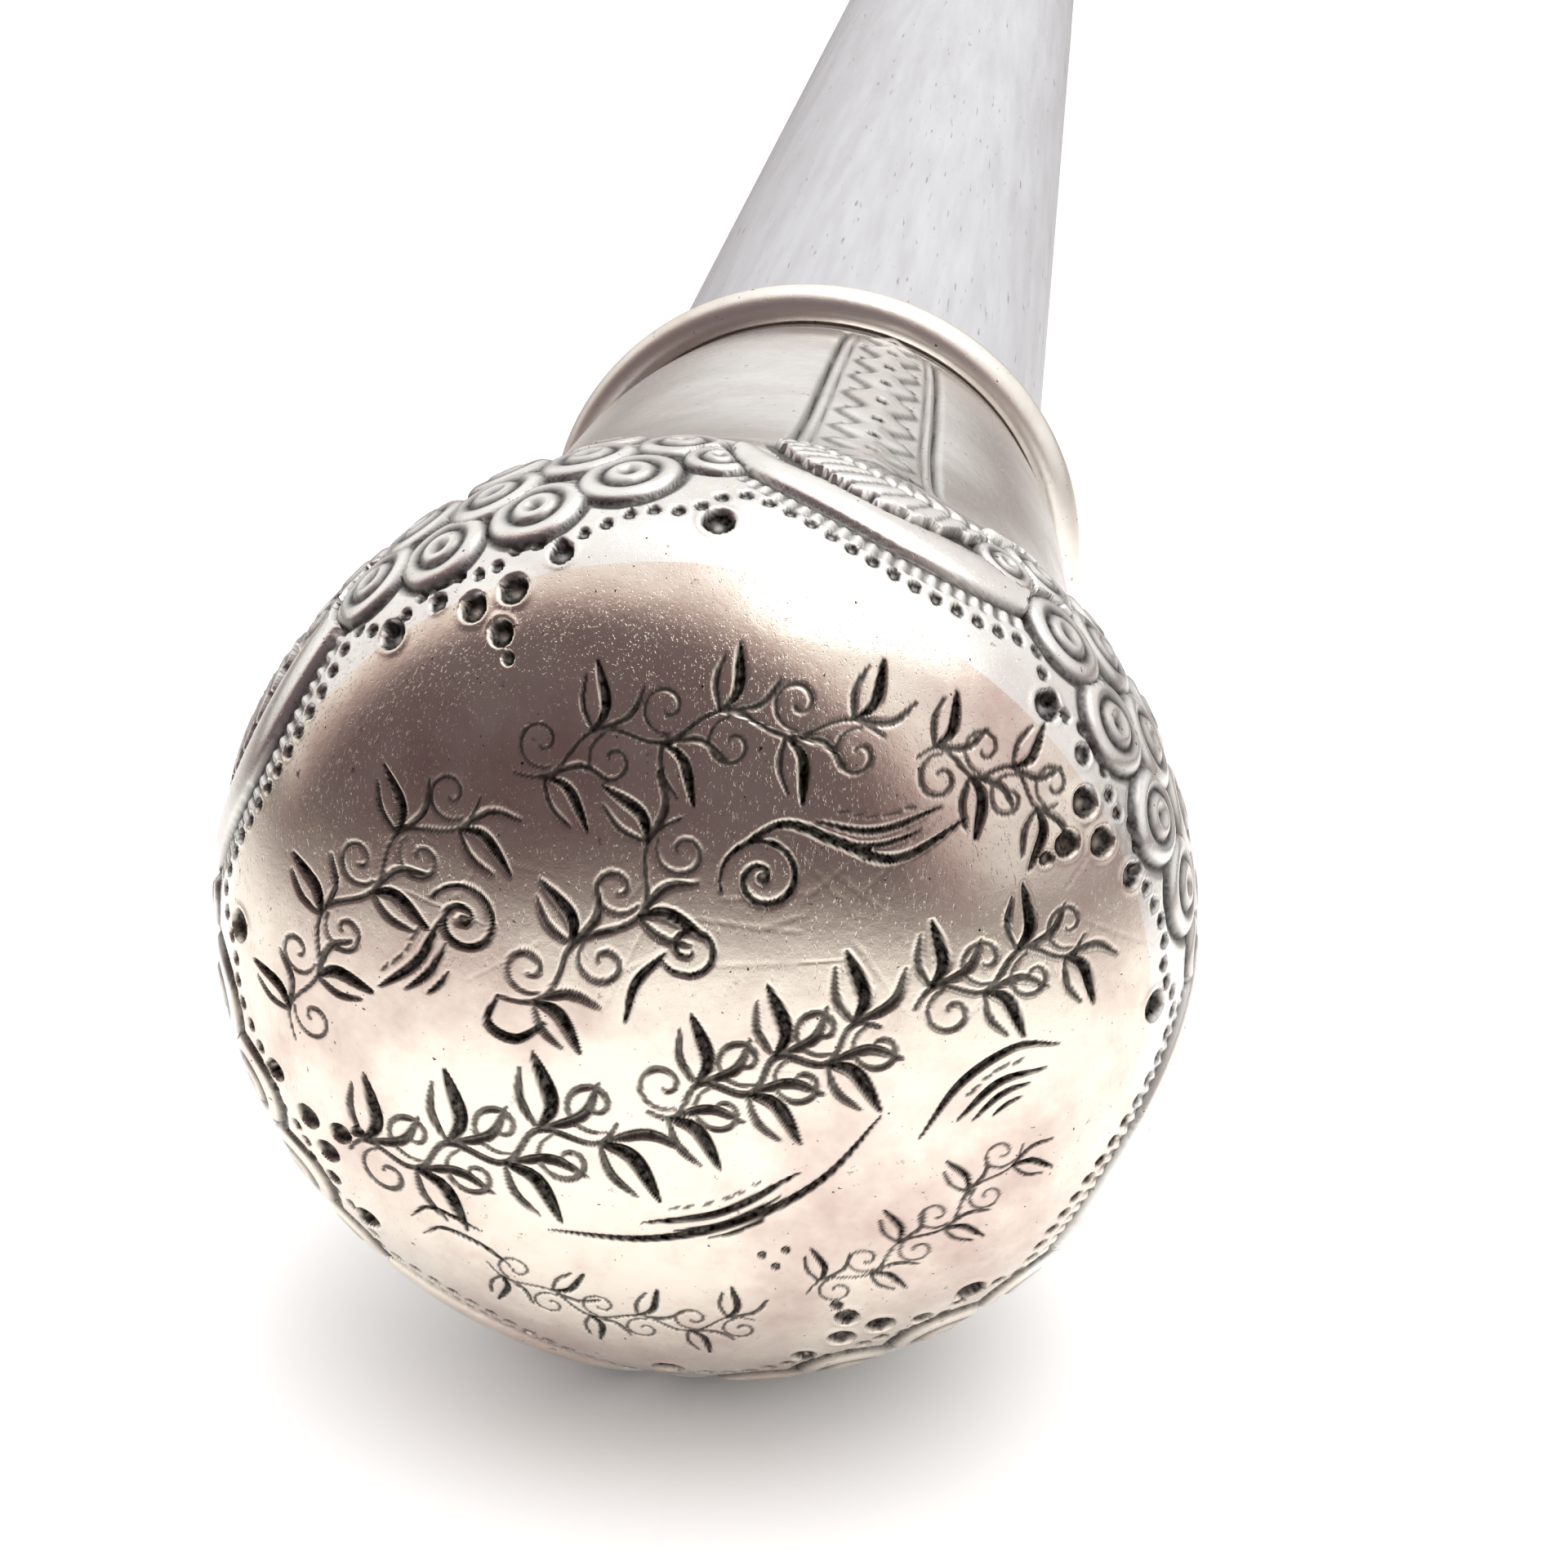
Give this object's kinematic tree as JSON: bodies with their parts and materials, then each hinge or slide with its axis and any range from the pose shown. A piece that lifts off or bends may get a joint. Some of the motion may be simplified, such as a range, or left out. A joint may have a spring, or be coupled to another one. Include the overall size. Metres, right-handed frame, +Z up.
{
  "type": "baby rattle",
  "caption": "Round silver-headed baby rattle with loose shot inside, a tapered neck with a beaded collar, a straight bone handle and a ribbon ring at the tail.",
  "frame": {"origin": "middle of the underside of the whole rattle as it lies on a table", "axes": "+Y along the rattle from the face to the ribbon ring, +Z up, +X to the right of someone who looks at the face"},
  "size_m": [0.03, 0.2176, 0.03],
  "materials": {
    "silver_face": "worn polish with light tarnish",
    "silver_chased": "chased silver, dark in the grooves",
    "silver_bead": "polished silver",
    "silver_plain": "satin silver",
    "cement": "dark brown setting cement",
    "plug_wood": "turned beech",
    "steel": "plain steel",
    "shot_steel": "tumbled steel",
    "bone": "polished pale bone"
  },
  "bodies": {
    "rattle": {"face_dome": "silver_face", "shoulder_band": "silver_chased", "neck_sleeve": "silver_chased", "collar_bead": "silver_bead", "chamber_disc": "silver_plain", "cement_bed": "cement", "neck_plug": "plug_wood", "dowel_screw": "steel", "collar_pin": "silver_plain", "handle": "bone", "end_cap": "silver_plain", "end_cap_bead": "silver_bead", "cap_pin": "silver_plain", "eye_rosette": "silver_plain", "eye_screw": "silver_plain"},
    "ring": {"hanging_ring": "silver_bead"},
    "shot_1_body": {"shot_1": "shot_steel"},
    "shot_2_body": {"shot_2": "shot_steel"},
    "shot_3_body": {"shot_3": "shot_steel"},
    "shot_4_body": {"shot_4": "shot_steel"},
    "shot_5_body": {"shot_5": "shot_steel"},
    "shot_6_body": {"shot_6": "shot_steel"},
    "shot_7_body": {"shot_7": "shot_steel"}
  },
  "joints": [
    {"name": "ring_swing", "type": "hinge", "parent": "rattle", "child": "ring", "pos_m": [0, 0.09691, 0.00955], "axis": [1, 0, 0], "range_deg": [-68, 141]},
    {"name": "shot_1_travel", "type": "slide", "parent": "rattle", "child": "shot_1_body", "axis": [0, 0.0279, 0.9996], "range_m": [0, 0.02028]},
    {"name": "shot_2_travel", "type": "slide", "parent": "rattle", "child": "shot_2_body", "axis": [0, 0.0279, 0.9996], "range_m": [0, 0.02379]},
    {"name": "shot_3_travel", "type": "slide", "parent": "rattle", "child": "shot_3_body", "axis": [0, 0.0279, 0.9996], "range_m": [0, 0.02379]},
    {"name": "shot_4_travel", "type": "slide", "parent": "rattle", "child": "shot_4_body", "axis": [0, 0.0279, 0.9996], "range_m": [0, 0.02028]},
    {"name": "shot_5_travel", "type": "slide", "parent": "rattle", "child": "shot_5_body", "axis": [0, 0.0279, 0.9996], "range_m": [0, 0.02204]},
    {"name": "shot_6_travel", "type": "slide", "parent": "rattle", "child": "shot_6_body", "axis": [0, 0.0279, 0.9996], "range_m": [0, 0.02373]},
    {"name": "shot_7_travel", "type": "slide", "parent": "rattle", "child": "shot_7_body", "axis": [0, 0.0279, 0.9996], "range_m": [0, 0.02204]}
  ]
}
